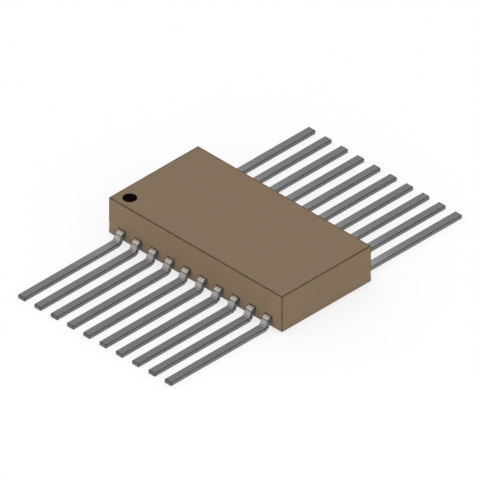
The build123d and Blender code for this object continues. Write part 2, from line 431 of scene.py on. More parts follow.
def formed_line(leads, run):
    """The middle line of a lead outside the body at each distance run along it: a stub, an arc down,
    a straight slope, an arc back and the flat foot. Returns the distance out, the drop, the heading
    below level and the distances at which these five start. The heading grows evenly over the first
    arc and shrinks over the second."""
    turn = leads.bend_angle
    shoulder = leads.shoulder_radius + leads.thickness / 2
    heel = leads.heel_radius + leads.thickness / 2
    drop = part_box("lead_01")[1][2] - leads.thickness
    slope = (drop - (shoulder + heel) * (1 - math.cos(turn))) / math.sin(turn)
    starts = np.cumsum([0, leads.root_run, shoulder * turn, slope, heel * turn])
    falling = turn * np.clip((run - starts[1]) / (shoulder * turn), 0, 1)
    levelling = turn * (1 - np.clip((run - starts[3]) / (heel * turn), 0, 1))
    sloped = np.clip(run - starts[2], 0, slope)
    out = np.minimum(run, starts[1]) + shoulder * np.sin(falling) + sloped * math.cos(turn)
    out += heel * (math.sin(turn) - np.sin(levelling)) + np.maximum(run - starts[4], 0)
    down = shoulder * (1 - np.cos(falling)) + sloped * math.sin(turn)
    down += heel * (np.cos(levelling) - math.cos(turn))
    return out, down, np.minimum(falling, levelling), starts


def lead_marks(leads):
    """Distances along the lead's middle line, outside the body, at which its stub, shoulder, slope,
    heel and foot start, and its whole length."""
    starts = formed_line(leads, np.zeros(1))[3]
    heel_out = formed_line(leads, starts[4:])[0][0]
    return starts, starts[4] + leads.reach - heel_out


def former_lines(leads):
    """Where the former's three lines cross a lead and how wide half of each is: at the end of the
    shoulder, just inside the heel and at the start of the foot."""
    places = lead_marks(leads)[0][2:] + np.array([0, leads.heel_line, 0])
    return places, np.array([leads.witness, leads.heel_witness, leads.witness])


def end_rings(leads):
    """The rings that round over a lead's end and close it: two plain ones, a quarter circle of the
    burr's radius and two inside its face. Returns how far each is drawn in and how far it lies
    past the end, and its share of the edge mask and of the cut mask."""
    radius = leads.burr_radius
    band = leads.edge_band
    turns = quarter_turn(4)
    insets = np.concatenate([[0, 0], radius * (1 - np.cos(turns)), [radius + band, radius + 2 * band]])
    steps = np.concatenate([[-3 * band, -1.5 * band], radius * np.sin(turns), [radius, radius]]) - radius
    edges = np.array([0, 1, 1, 1, 1, 1, 1, 0])
    cuts = np.array([0, 0, 0, 0.5, 1, 1, 1, 1])
    return insets, steps, edges, cuts


def outside_stations(leads):
    """Distances outside the body at which a lead has a ring: at its root, in even steps round both
    bends, at the former's lines and both their sides, at a few shares of its foot and at its tip."""
    bend_rings = 10
    foot_shares = np.array([0.04, 0.09, 0.18, 0.3, 0.5, 0.7, 0.9])
    starts, total = lead_marks(leads)
    lines, widths = former_lines(leads)
    shoulder = np.linspace(starts[1], starts[2], bend_rings)
    heel = np.linspace(starts[3], starts[4], bend_rings)
    foot = starts[4] + foot_shares * (total - starts[4])
    run = np.unique(np.concatenate([[0.0], shoulder, heel, lines - widths, lines, lines + widths, foot]))
    return np.concatenate([run, total + end_rings(leads)[1]])


def finish_masks(leads, run):
    """The masks of a lead's finishes at each distance run outside the body. bend is a painted highlight
    that stands in for the light on the bends: it is full from the root, where it also lifts the
    shade that the body casts and reflects there, falls to the heel and fades along the foot by an
    exponential of a power, as painted light against the foot's darker reflection near the body.
    seal is the share of it that takes a warm tint, which ends below the shoulder. witness is 1 in
    the middle of each of the former's lines."""
    starts, _ = lead_marks(leads)
    lines, widths = former_lines(leads)
    # Painted highlight: full from the root, where the body's shade darkens the lead, and lower past the
    # shoulder and at the heel. It then fades along the foot.
    marks = [0, starts[1], starts[2], lines[0] + widths[0], lines[1], lines[1] + widths[1], starts[4]]
    levels = [1.0, 1.0, 0.8, 0.69, 0.69, 0.6, 0.6]
    on_foot = np.maximum(run - starts[4], 0) / leads.highlight_fade
    bend = np.interp(run, marks, levels, left=0.0) * np.exp(-(on_foot**1.4))
    seal = np.interp(run, [starts[1], starts[2], starts[2] + leads.thickness], [1, 0.8, 0], left=1.0)
    witness = np.clip(1 - (np.abs(run[:, None] - lines) / widths).min(axis=1), 0, 1)
    return {"bend": bend, "seal": seal, "witness": witness}


def finger_plan(leads, ceramic, place):
    """The middle line of a finger in plan on the +Y side, from its tip to the body's side."""
    recess, cavity = hollow_sizes(ceramic)
    side_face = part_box("ceramic_cap")[1][1]
    side_fingers = leads.per_row - 2 * leads.end_fingers
    side_pitch = 2 * (cavity[0] - leads.side_tip_corner) / (side_fingers - 1)
    end_pitch = 2 * (cavity[1] - leads.end_tip_corner) / (2 * leads.end_fingers - 1)
    sign = math.copysign(1, place)
    rank = abs(place) + 0.5
    x = place * leads.pitch
    if rank <= side_fingers / 2:
        tip = (sign * (rank - 0.5) * side_pitch, recess[1] + leads.finger_setback)
        elbow = (tip[0], tip[1] + leads.tip_run)
    else:
        turn = rank - side_fingers / 2
        tip = (sign * (recess[0] + leads.finger_setback), (leads.end_fingers - turn + 0.5) * end_pitch)
        elbow = (tip[0] + sign * turn * leads.end_run, tip[1])
    return np.array([tip, elbow, (x, side_face - leads.knee_depth), (x, side_face)])


def strip_section(leads, half_width, inset):
    """Points round a lead's section at each station: a rectangle with a quarter circle at each
    corner, rolled on the upper side and sharper on the lower, and two plain points beside each
    arc. inset shrinks it all round with its corners, and a negative one pushes its sides out.
    Returns across, up, a mask that is 1 beside the corners and one that is 1 on the sheared sides."""
    half_width = (half_width - inset)[:, None]
    half_thickness = (leads.thickness / 2 - inset)[:, None]
    least_radius = leads.burr_radius * 0.2
    corners = (
        (1, 1, leads.rolled_radius),
        (-1, 1, leads.rolled_radius),
        (-1, -1, leads.burr_radius),
        (1, -1, leads.burr_radius),
    )
    reach = np.array([-2, -1, 0, 0, 0, 0, 0, 1, 2]) * leads.edge_band
    across = []
    up = []
    for corner, (right, top, radius) in enumerate(corners):
        radius = np.maximum(radius - np.maximum(inset, 0), least_radius)[:, None]
        turns = quarter_turn(5)[[0, 0, 0, 1, 2, 3, 4, 4, 4]] + corner * math.pi / 2
        cos = np.cos(turns)
        sin = np.sin(turns)
        across.append(right * (half_width - radius) + radius * cos - sin * reach)
        up.append(top * (half_thickness - radius) + radius * sin + cos * reach)
    edge = np.tile([0, 1, 1, 1, 1, 1, 1, 1, 0], 4)
    turned_away = np.array([1, 1, 1, 0.8, 0.5, 0.2, 0, 0, 0])
    side = np.tile(np.concatenate([turned_away, turned_away[::-1]]), 2)
    return np.concatenate(across, axis=1), np.concatenate(up, axis=1), edge, side


def outside_frames(leads, place, run):
    """Middle points, side ways and upward ways of the strip on the +Y side, at each distance run
    outside the body. The upward way leans outwards by the heading of the formed line."""
    side_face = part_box("ceramic_cap")[1][1]
    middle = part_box("lead_01")[1][2] - leads.thickness / 2
    out, down, heading, _ = formed_line(leads, run)
    level = np.zeros_like(run)
    centres = np.stack([level + place * leads.pitch, side_face + out, middle - down], axis=-1)
    sides = np.stack([level + 1, level, level], axis=-1)
    ups = np.stack([level, np.sin(heading), np.cos(heading)], axis=-1)
    return centres, sides, ups


def finger_frames(leads, ceramic, place, steps):
    """Middle points, side ways and upward ways of the finger on the +Y side: at each step from its
    tip, and at its elbow and knee, where the side way is the mitre of the two runs. Also returns
    the half width there and the distance to the body's side."""
    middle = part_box("lead_01")[1][2] - leads.thickness / 2
    plan = finger_plan(leads, ceramic, place)
    ways = np.diff(plan, axis=0)
    lengths = np.linalg.norm(ways, axis=1)
    ways /= lengths[:, None]
    rights = np.stack([ways[:, 1], -ways[:, 0]], axis=-1)
    mitres = rights[:-1] + rights[1:]
    mitres /= (1 + np.einsum("ij,ij->i", rights[:-1], rights[1:]))[:, None]
    flat = np.vstack([plan[0] + ways[0] * steps[:, None], plan[1:-1]])
    centres = np.column_stack([flat, np.full(len(flat), middle)])
    sides = np.vstack([np.repeat(rights[:1], len(steps), axis=0), mitres])
    sides = np.column_stack([sides, np.zeros(len(flat))])
    ups = np.tile([0.0, 0.0, 1.0], (len(flat), 1))
    half_widths = np.append(np.full(len(steps) + 1, leads.finger_width / 2), leads.width / 2)
    run = np.concatenate([steps, [lengths[0], lengths[0] + lengths[1]]]) - lengths.sum()
    return centres, sides, ups, half_widths, run


def swept_rings(centres, sides, ups, across, up, turned):
    """A section carried along its frames. turned is -1 for the front row, which is the back row
    turned half round."""
    rings = centres[:, None] + sides[:, None] * across[..., None] + ups[:, None] * up[..., None]
    rings[..., :2] *= turned
    return rings


def at_ends(count, values, finger_too=True):
    """A value for each of a lead's rings: 0 along it, the given ones at its tip, and the same ones
    the other way round at its finger's end, unless they are for the tip alone."""
    spread = np.zeros(count)
    spread[-len(values) :] = values
    if finger_too:
        spread[: len(values)] = values[::-1]
    return spread


def lead_surface(leads, ceramic, place, turned, number):
    """One lead: its section is carried along the finger in plan, mitred at each corner, and then
    along the formed line outside the body, and each end is rounded over and closed. Returns the
    points, the faces, the masks of its finishes and four more. edge is 1 along the stamped edges
    and round both ends, side is 1 on the sheared sides and cut is 1 on the face of the tip. strip
    holds the distances across, along and up, where each lead starts at a place of its own."""
    end_insets, end_steps, end_edges, end_cuts = end_rings(leads)
    run = outside_stations(leads)
    inside = finger_frames(leads, ceramic, place, -end_steps[::-1])
    outside = outside_frames(leads, place, run)
    frames = [np.concatenate(pair) for pair in zip(inside[:3], outside)]
    half_widths = np.concatenate([inside[3], np.full(len(run), leads.width / 2)])
    run = np.concatenate([inside[4], run])
    inset = at_ends(len(run), end_insets)
    ended = at_ends(len(run), end_edges)
    cut = at_ends(len(run), end_cuts, finger_too=False)

    across, up, corner, side = strip_section(leads, half_widths, inset)
    rings = swept_rings(*frames, across, up, turned)
    points, faces = closed_surface(rings, rings[0].mean(axis=0), rings[-1].mean(axis=0))
    capped = np.maximum(ended >= 1, inset > 0)[:, None]
    edge = np.where(capped, ended[:, None], corner)
    own_start = number * leads.pitch * 10
    along = np.broadcast_to(run[:, None] + own_start, up.shape)
    strip = np.stack([across, along, up], axis=-1)
    around = across.shape[1]
    masks = {
        "edge": with_poles(edge),
        "side": with_poles(np.tile(side, len(run)), 1, 1),
        "cut": with_poles(np.repeat(cut, around), 0, 1),
        "strip": np.concatenate([strip.reshape(-1, 3), strip[[0, -1]].mean(axis=1)]),
    }
    for name, values in finish_masks(leads, run).items():
        masks[name] = with_poles(np.repeat(values, around))
    return points, faces, masks


def skirt_surface(leads, ceramic, place, turned):
    """The glass round one lead's root: the lead's section, grown by a hollow curve, the power 1.5 of
    the way left to the end of the climb, and closed inside the body and the lead."""
    climb = ceramic.skirt_climb
    sink = ceramic.skirt_overlap
    left = np.cos(quarter_turn(9))
    run = np.concatenate([[-sink], climb * (1 - left), [climb, -sink]])
    shares = np.concatenate([[1], left**1.5])
    above, beside = (
        np.concatenate([spread * shares, [-sink, -sink]])
        for spread in (ceramic.skirt_spread, ceramic.skirt_side)
    )
    frames = outside_frames(leads, place, run)
    across, up, _, _ = strip_section(leads, leads.width / 2 + beside - above, -above)
    return looped_surface(swept_rings(*frames, across, up, turned))


def dot_surface(ink):
    """The ink dot: rings whose radius wanders by a few sines round the dot, with a dried ridge near
    the edge. The height is the ridge's bell curve over a flat middle, and falls to the cap in a
    quarter circle at the rim."""
    low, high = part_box("pin_one_dot")
    centre_x = (low[0] + high[0]) / 2
    centre_y = (low[1] + high[1]) / 2
    radius = (high[0] - low[0]) / 2
    height = high[2] - low[2]
    steps_round = 96
    ridge_place = 0.93
    ridge_width = 0.05
    rim = 0.965
    around = np.linspace(0, 2 * math.pi, steps_round, endpoint=False)
    waves = np.sin(3 * around + 0.7) + 0.6 * np.sin(5 * around + 2.1) + 0.4 * np.sin(11 * around)
    edge = radius * (1 - ink.wobble * (1 + waves / 2))
    shares = np.concatenate([np.linspace(0.1, 0.9, 9), [0.94, rim]])
    crown = height - ink.ridge + ink.ridge * np.exp(-(((shares - ridge_place) / ridge_width) ** 2))
    turns = quarter_turn(5)[1:]
    shares = np.concatenate([shares, rim + (1 - rim) * np.sin(turns), [0.5]])
    heights = np.concatenate([crown, crown[-1] * np.cos(turns), [0]])
    rings = np.empty((len(shares), len(around), 3))
    rings[..., 0] = centre_x + shares[:, None] * edge * np.cos(around)
    rings[..., 1] = centre_y + shares[:, None] * edge * np.sin(around)
    rings[..., 2] = low[2] + heights[:, None]
    top = (centre_x, centre_y, low[2] + crown[0])
    return closed_surface(rings, top, (centre_x, centre_y, low[2]))


# Shader building


def give(tree, socket, value):
    """Links a socket to an output, or sets it to a value."""
    if isinstance(value, bpy.types.NodeSocket):
        tree.links.new(value, socket)
    else:
        socket.default_value = value


def add_node(tree, kind, inputs=None, **settings):
    """A node with its settings made, and its named or numbered inputs linked or set."""
    node = tree.nodes.new(kind)
    for key, value in settings.items():
        setattr(node, key, value)
    for key, value in (inputs or {}).items():
        give(tree, node.inputs[key], value)
    return node


def calculate(tree, operation, first, second=0.0, third=0.0, clamp=False):
    """The output of a Math node."""
    inputs = {0: first, 1: second, 2: third}
    return add_node(tree, "ShaderNodeMath", inputs, operation=operation, use_clamp=clamp).outputs[0]


def ramp(tree, value, low, high, to_low, to_high):
    """A value carried from one range to another, and held at its ends."""
    inputs = {"Value": value, "From Min": low, "From Max": high, "To Min": to_low, "To Max": to_high}
    return add_node(tree, "ShaderNodeMapRange", inputs).outputs["Result"]


def roughness_from(tree, height, smooth, rough):
    """A roughness that follows a noise's height, over the range that it mostly keeps within."""
    return ramp(tree, height, 0.3, 0.7, smooth, rough)


def split(tree, vector):
    """The X, Y and Z of a vector."""
    return add_node(tree, "ShaderNodeSeparateXYZ", {0: vector}).outputs


def noise(tree, inputs):
    """The height of a noise, from 0 to 1."""
    return add_node(tree, "ShaderNodeTexNoise", inputs).outputs["Fac"]


def cells(tree, place, size, **settings):
    """The outputs of a pattern of cells of a size."""
    inputs = {"Vector": place, "Scale": 1 / size}
    return add_node(tree, "ShaderNodeTexVoronoi", inputs, **settings).outputs


def opaque(color):
    """An output as it is, or a plain colour with a full alpha."""
    return color if isinstance(color, bpy.types.NodeSocket) else (*color, 1)


def blend_colors(tree, factor, first, second):
    """One colour turned into another by a factor."""
    inputs = {0: factor, 6: opaque(first), 7: opaque(second)}
    return add_node(tree, "ShaderNodeMix", inputs, data_type="RGBA").outputs[2]


def brighten(tree, color, *values):
    """A colour times each of the values."""
    for value in values:
        inputs = {0: color, "Scale": value}
        color = add_node(tree, "ShaderNodeVectorMath", inputs, operation="SCALE").outputs[0]
    return color


def object_place(tree):
    """Object coordinates, in metres."""
    return tree.nodes.new("ShaderNodeTexCoord").outputs["Object"]


def mask(tree, name):
    """The value of a piece's own mask."""
    return add_node(tree, "ShaderNodeAttribute", attribute_name=name).outputs["Fac"]


def new_group(name, inputs, outputs):
    """An empty node group with named sockets, its input node and its output node."""
    group = bpy.data.node_groups.new(name, "ShaderNodeTree")
    for way, sockets in (("INPUT", inputs), ("OUTPUT", outputs)):
        for socket, kind in sockets.items():
            group.interface.new_socket(name=socket, in_out=way, socket_type=f"NodeSocket{kind}")
    return group, group.nodes.new("NodeGroupInput").outputs, group.nodes.new("NodeGroupOutput").inputs


def use_group(tree, name, inputs):
    """The outputs of a group placed in a material."""
    return add_node(tree, "ShaderNodeGroup", inputs, node_tree=bpy.data.node_groups[name]).outputs


def give_texture(group, made, height, contrast):
    """A texture group's outputs: its height, and a shade that swings about 1 by the contrast. A noise
    mostly keeps within a quarter of its middle, 0.5, so its swing is taken four times."""
    swing = calculate(group, "MULTIPLY", calculate(group, "SUBTRACT", height, 0.5), contrast)
    give(group, made["Shade"], calculate(group, "MULTIPLY_ADD", swing, 4.0, 1.0))
    give(group, made["Height"], height)


def make_grain_group():
    """Grain: noise of a given size. Shade swings about 1 by the contrast, Height runs 0 to 1."""
    inputs = {"Place": "Vector", "Size": "Float", "Contrast": "Float"}
    group, given, made = new_group("Grain", inputs, {"Shade": "Float", "Height": "Float"})
    scale = calculate(group, "DIVIDE", 1.0, given["Size"])
    height = noise(group, {"Vector": given["Place"], "Scale": scale, "Detail": 3.0, "Roughness": 0.6})
    give_texture(group, made, height, given["Contrast"])


def make_rolled_group():
    """Rolled lines: noise drawn out along one axis, as rolling and drawing leave on metal. Shade
    swings about 1 by the contrast, Height runs 0 to 1."""
    inputs = {"Place": "Vector", "Stretch": "Vector", "Contrast": "Float"}
    group, given, made = new_group("Rolled lines", inputs, {"Shade": "Float", "Height": "Float"})
    inputs = {0: given["Place"], 1: given["Stretch"]}
    drawn = add_node(group, "ShaderNodeVectorMath", inputs, operation="MULTIPLY").outputs[0]
    height = noise(group, {"Vector": drawn, "Scale": 1.0, "Detail": 4.0, "Roughness": 0.65})
    give_texture(group, made, height, given["Contrast"])


def make_edge_group():
    """Edge tone: turns a colour towards an edge colour by a mask and a strength, which noise lowers
    here and there to 0.72 of itself."""
    inputs = {
        "Color": "Color",
        "Edge Color": "Color",
        "Edge": "Float",
        "Strength": "Float",
        "Break Size": "Float",
        "Place": "Vector",
    }
    group, given, made = new_group("Edge tone", inputs, {"Color": "Color"})
    scale = calculate(group, "DIVIDE", 1.0, given["Break Size"])
    height = noise(group, {"Vector": given["Place"], "Scale": scale, "Detail": 2.0})
    broken = ramp(group, height, 0.3, 0.6, 0.72, 1.0)
    amount = calculate(group, "MULTIPLY", given["Edge"], given["Strength"])
    amount = calculate(group, "MULTIPLY", amount, broken, clamp=True)
    give(group, made["Color"], blend_colors(group, amount, given["Color"], given["Edge Color"]))


def grain(tree, place, size, contrast):
    """The shade and height of grain of a size."""
    return use_group(tree, "Grain", {"Place": place, "Size": size, "Contrast": contrast})


def rolled_lines(tree, place, stretch, contrast):
    """The shade and height of lines, with how many of them a metre holds along each axis."""
    return use_group(tree, "Rolled lines", {"Place": place, "Stretch": stretch, "Contrast": contrast})


def edge_tone(tree, place, color, settings, edge, break_size):
    """A colour that turns into a piece's edge colour where its edge mask is 1."""
    inputs = {
        "Color": color,
        "Edge Color": opaque(settings.edge_color),
        "Edge": edge,
        "Strength": settings.edge_strength,
        "Break Size": break_size,
        "Place": place,
    }
    return use_group(tree, "Edge tone", inputs)["Color"]


def empty_tree(owner, output):
    """The cleared node tree of a material or a world, and its output's surface."""
    owner.use_nodes = True
    tree = owner.node_tree
    tree.nodes.clear()
    return tree, tree.nodes.new(output).inputs["Surface"]


def new_material(name):
    """A material with a Principled shader, its tree and the shader."""
    material = bpy.data.materials.new(name)
    tree, surface = empty_tree(material, "ShaderNodeOutputMaterial")
    shader = tree.nodes.new("ShaderNodeBsdfPrincipled")
    give(tree, surface, shader.outputs["BSDF"])
    return material, tree, shader


def feed(tree, shader, color, roughness, relief, depth, **levels):
    """Gives a shader its colour, its roughness, a normal from a relief of 0 to 1 over a depth in
    metres, and the levels that are even all over, named with underscores for spaces."""
    bump = {"Height": relief, "Distance": depth, "Strength": 1.0}
    give(tree, shader.inputs["Base Color"], color)
    give(tree, shader.inputs["Roughness"], roughness)
    give(tree, shader.inputs["Normal"], add_node(tree, "ShaderNodeBump", bump).outputs["Normal"])
    for name, level in levels.items():
        shader.inputs[name.replace("_", " ")].default_value = level


# Materials


def ceramic_material(ceramic):
    """Pressed and fired ceramic: a matt skin with fine grain, slow mottling, a few dark specks of
    oxide and a darker tone along its edges."""
    material, tree, shader = new_material("Pressed ceramic")
    place = object_place(tree)
    mottle = grain(tree, place, size=1.1 * MM, contrast=0.035)
    fine = grain(tree, place, size=0.055 * MM, contrast=0.06)
    color = brighten(tree, ceramic.color, mottle["Shade"], fine["Shade"])
    spots = cells(tree, place, size=0.21 * MM)
    speck = ramp(tree, spots["Distance"], 0.05, 0.14, 1.0, 0.0)
    chosen = ramp(tree, spots["Color"], 0.62, 0.66, 0.0, 0.4)
    oxide = tuple(channel * 0.45 for channel in ceramic.color)
    color = blend_colors(tree, calculate(tree, "MULTIPLY", speck, chosen), color, oxide)
    color = edge_tone(tree, place, color, ceramic, mask(tree, "rim"), break_size=0.35 * MM)
    roughness = roughness_from(tree, fine["Height"], 0.55, 0.72)
    relief = calculate(tree, "SUBTRACT", fine["Height"], calculate(tree, "MULTIPLY", speck, 0.5))
    feed(tree, shader, color, roughness, relief, depth=0.006 * MM, Specular_IOR_Level=0.15)
    return material


def glass_material(ceramic):
    """Sealing glass: fused and slightly glossy, flowed in level streaks with small bubbles, with the
    ceramic's edge tone at the body's corners."""
    material, tree, shader = new_material("Sealing glass")
    place = object_place(tree)
    flow = rolled_lines(tree, place, stretch=(900, 900, 16000), contrast=0.04)
    bubble = ramp(tree, cells(tree, place, size=0.12 * MM)["Distance"], 0.05, 0.16, 0.0, 1.0)
    color = brighten(tree, ceramic.glass_color, flow["Shade"], ramp(tree, bubble, 0.0, 1.0, 0.82, 1.0))
    past_x, past_y = (
        calculate(tree, "SUBTRACT", calculate(tree, "ABSOLUTE", along), half)
        for along, half in zip(split(tree, place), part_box("ceramic_cap")[1][:2])
    )
    radius = ceramic.corner_radius
    nearer = calculate(tree, "MINIMUM", past_x, past_y)
    corner = ramp(tree, nearer, -radius - ceramic.corner_band, -radius, 0.0, 1.0)
    color = edge_tone(tree, place, color, ceramic, corner, break_size=0.35 * MM)
    roughness = roughness_from(tree, flow["Height"], 0.42, 0.6)
    relief = calculate(tree, "MULTIPLY_ADD", bubble, 0.6, flow["Height"])
    feed(tree, shader, color, roughness, relief, depth=0.004 * MM, Specular_IOR_Level=0.25)
    return material


def skirt_material(ceramic):
    """Glass skirts: smooth solder glass that has crept up the lead, with a little swirl, coloured dark as a
    painted shadow at the lead's root.
    """
    material, tree, shader = new_material("Glass skirt and painted shadow")
    swirl = grain(tree, object_place(tree), size=0.07 * MM, contrast=0.12)
    # Painted shadow: the skirt's dark colour.
    color = brighten(tree, ceramic.skirt_shadow_color, swirl["Shade"])
    roughness = roughness_from(tree, swirl["Height"], 0.4, 0.55)
    feed(tree, shader, color, roughness, swirl["Height"], depth=0.003 * MM, Specular_IOR_Level=0.2)
    return material


def lead_material(leads):
    """Plated strip: rolled lines along the lead, a painted highlight on the bends with the former's
    witness lines, sheared sides that are smooth above and torn below and coloured lighter as
    painted light, a cut tip darkened as painted shade and tarnished edges. The patterns follow the
    strip through its own coordinates: across, along and up, in metres."""
    material, tree, shader = new_material("Plated lead strip")
    place = add_node(tree, "ShaderNodeAttribute", attribute_name="strip").outputs["Vector"]
    lines = rolled_lines(tree, place, stretch=(26000, 320, 26000), contrast=0.07)
    cloud = grain(tree, place, size=0.5 * MM, contrast=0.035)
    fine = grain(tree, place, size=0.03 * MM, contrast=0.07)
    sheared = mask(tree, "side")
    ragged = calculate(tree, "MULTIPLY_ADD", fine["Height"], 0.05 * MM, split(tree, place)["Z"])
    torn = calculate(tree, "MULTIPLY", ramp(tree, ragged, 0.0, 0.02 * MM, 1.0, 0.0), sheared)
    # Painted light: the sheared sides take a lighter colour, which lifts their less lit faces. Their torn
    # lower half is darker.
    color = blend_colors(tree, sheared, leads.color, leads.side_with_painted_light_color)
    color = brighten(tree, color, ramp(tree, torn, 0.0, 1.0, 1.0, 0.86))
    # Painted highlight on the bends, weaker on the sheared sides.
    painted_highlight = calculate(tree, "MULTIPLY", mask(tree, "bend"), ramp(tree, sheared, 0.0, 1.0, 1.0, 0.2))
    # The painted highlight takes a warm tint near the root.
    bright = blend_colors(tree, mask(tree, "seal"), leads.bend_highlight_color, leads.warm_highlight_color)
    color = blend_colors(tree, painted_highlight, color, bright)
    # Painted shade on the cut tip's face, which the key lamp lights.
    color = blend_colors(tree, mask(tree, "cut"), color, leads.cut_tip_shade_color)
    color = brighten(tree, color, lines["Shade"], cloud["Shade"], fine["Shade"])
    line = calculate(tree, "MULTIPLY", mask(tree, "witness"), leads.witness_strength)
    color = blend_colors(tree, line, color, leads.edge_color)
    color = edge_tone(tree, place, color, leads, mask(tree, "edge"), break_size=0.25 * MM)
    roughness = roughness_from(tree, lines["Height"], 0.52, 0.66)
    roughness = calculate(tree, "MULTIPLY_ADD", torn, 0.1, roughness)
    pits = calculate(tree, "SUBTRACT", fine["Height"], 1.0)
    relief = calculate(tree, "MULTIPLY_ADD", fine["Height"], 0.5, lines["Height"])
    relief = calculate(tree, "MULTIPLY_ADD", torn, pits, relief)
    feed(tree, shader, color, roughness, relief, depth=0.0025 * MM, Metallic=1.0)
    return material


def ink_material(ink):
    """Black epoxy ink: nearly even, with a little bloom of the filler and a soft gloss."""
    material, tree, shader = new_material("Marking ink")
    place = object_place(tree)
    bloom = grain(tree, place, size=0.18 * MM, contrast=0.14)
    fine = grain(tree, place, size=0.02 * MM, contrast=0.1)
    color = brighten(tree, ink.color, bloom["Shade"], fine["Shade"])
    roughness = roughness_from(tree, bloom["Height"], 0.45, 0.6)
    feed(tree, shader, color, roughness, fine["Height"], depth=0.002 * MM, Specular_IOR_Level=0.004)
    return material


def pad_row(tree, inside, line, depth, half_line, half_depth, corner, count):
    """1 on the bond pads along two facing edges of the die. line and depth are the coordinates along
    these edges and across them."""
    pitch = 2 * (half_line - corner) / (count - 1)
    offset = calculate(tree, "PINGPONG", calculate(tree, "ADD", line, half_line - corner), pitch / 2)
    near_line = calculate(tree, "LESS_THAN", offset, inside.pad_size / 2)
    row_end = half_line - corner + pitch / 4
    in_row = calculate(tree, "LESS_THAN", calculate(tree, "ABSOLUTE", line), row_end)
    rim = calculate(tree, "SUBTRACT", calculate(tree, "ABSOLUTE", depth), half_depth - inside.pad_inset)
    near_rim = calculate(tree, "LESS_THAN", calculate(tree, "ABSOLUTE", rim), inside.pad_size / 2)
    return calculate(tree, "MULTIPLY", calculate(tree, "MULTIPLY", near_line, in_row), near_rim)


def track_lines(tree, along, half_pitch, fade):
    """1 on fine tracks across an axis, two half pitches apart, which fade out past their edges."""
    half_track = 0.003 * MM
    nearest = calculate(tree, "PINGPONG", along, half_pitch)
    return ramp(tree, nearest, half_track, half_track + fade, 1.0, 0.0)


def within(tree, along, half, share):
    """1 within a share of the die's half size along an axis, and 0 from a hundredth further out."""
    distance = calculate(tree, "ABSOLUTE", along)
    return ramp(tree, distance, half * share, half * (share + 0.01), 1.0, 0.0)


def die_material(inside, leads):
    """The silicon: a field of fine rows and columns in the middle, blocks of logic round it, bright
    bond pads along the edges and a plain sawn side."""
    material, tree, shader = new_material("Silicon die")
    place = object_place(tree)
    x, y, _ = split(tree, place)
    half_x, half_y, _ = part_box("die")[1]
    end_pads = 2 * leads.end_fingers
    side_pads = leads.per_row - end_pads
    sides = pad_row(tree, inside, x, y, half_x, half_y, inside.side_pad_corner, side_pads)
    ends = pad_row(tree, inside, y, x, half_y, half_x, inside.end_pad_corner, end_pads)
    pads = calculate(tree, "MAXIMUM", sides, ends)
    rows = track_lines(tree, y, half_pitch=0.011 * MM, fade=0.002 * MM)
    columns = track_lines(tree, x, half_pitch=0.019 * MM, fade=0.003 * MM)
    array = calculate(tree, "MULTIPLY", within(tree, x, half_x, 0.68), within(tree, y, half_y, 0.55))
    tracks = calculate(tree, "MULTIPLY", calculate(tree, "MAXIMUM", rows, columns), array)
    blocks = cells(tree, place, size=0.16 * MM, distance="CHEBYCHEV")
    color = brighten(tree, inside.silicon_color, ramp(tree, blocks["Color"], 0.2, 0.8, 0.75, 1.2))
    color = blend_colors(tree, calculate(tree, "MULTIPLY", tracks, 0.55), color, inside.pad_color)
    color = blend_colors(tree, pads, color, inside.pad_color)
    relief = calculate(tree, "MAXIMUM", tracks, pads)
    roughness = ramp(tree, relief, 0.0, 1.0, 0.16, 0.34)
    feed(tree, shader, color, roughness, relief, depth=0.001 * MM, Metallic=0.7)
    return material


def bed_material(inside):
    """The die's bed: silver flakes in glass, dull and grainy."""
    material, tree, shader = new_material("Silver glass bed")
    flakes = grain(tree, object_place(tree), size=0.03 * MM, contrast=0.16)
    color = brighten(tree, inside.bed_color, flakes["Shade"])
    roughness = roughness_from(tree, flakes["Height"], 0.42, 0.66)
    feed(tree, shader, color, roughness, flakes["Height"], depth=0.004 * MM, Metallic=0.6)
    return material


def wire_material(inside):
    """Bond wire: drawn aluminium, bright with faint lines."""
    material, tree, shader = new_material("Bond wire")
    lines = rolled_lines(tree, object_place(tree), stretch=(9000, 9000, 60000), contrast=0.06)
    color = brighten(tree, inside.wire_color, lines["Shade"])
    roughness = roughness_from(tree, lines["Height"], 0.2, 0.34)
    feed(tree, shader, color, roughness, lines["Height"], depth=0.001 * MM, Metallic=1.0)
    return material


def seen_directly(tree):
    """1 for what the camera, a reflection or clear glass sees, and 0 for what lights the part."""
    path = tree.nodes.new("ShaderNodeLightPath").outputs
    mirrored = calculate(tree, "MAXIMUM", path["Is Camera Ray"], path["Is Glossy Ray"])
    return calculate(tree, "MAXIMUM", mirrored, path["Is Transmission Ray"])


def floor_material(stage):
    """The floor: matt and pale for the light that it throws back, and for the camera a share of plain
    white over a matt white that keeps the shadow."""
    material = bpy.data.materials.new("Pale floor")
    tree, surface = empty_tree(material, "ShaderNodeOutputMaterial")
    matt = add_node(tree, "ShaderNodeBsdfDiffuse", {"Color": opaque(stage.floor_color)})
    kept = add_node(tree, "ShaderNodeBsdfDiffuse", {"Color": opaque([stage.floor_share] * 3)})
    glow = add_node(tree, "ShaderNodeEmission", {"Strength": stage.floor_glow})
    white = add_node(tree, "ShaderNodeAddShader", {0: kept.outputs[0], 1: glow.outputs[0]})
    inputs = {0: seen_directly(tree), 1: matt.outputs[0], 2: white.outputs[0]}
    give(tree, surface, add_node(tree, "ShaderNodeMixShader", inputs).outputs[0])
    return material


def dress_nodes(material, nodes):
    """Gives carried-over solids their material."""
    for name in nodes:
        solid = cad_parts[name]
        solid.data.materials.clear()
        solid.data.materials.append(material)


# Operators


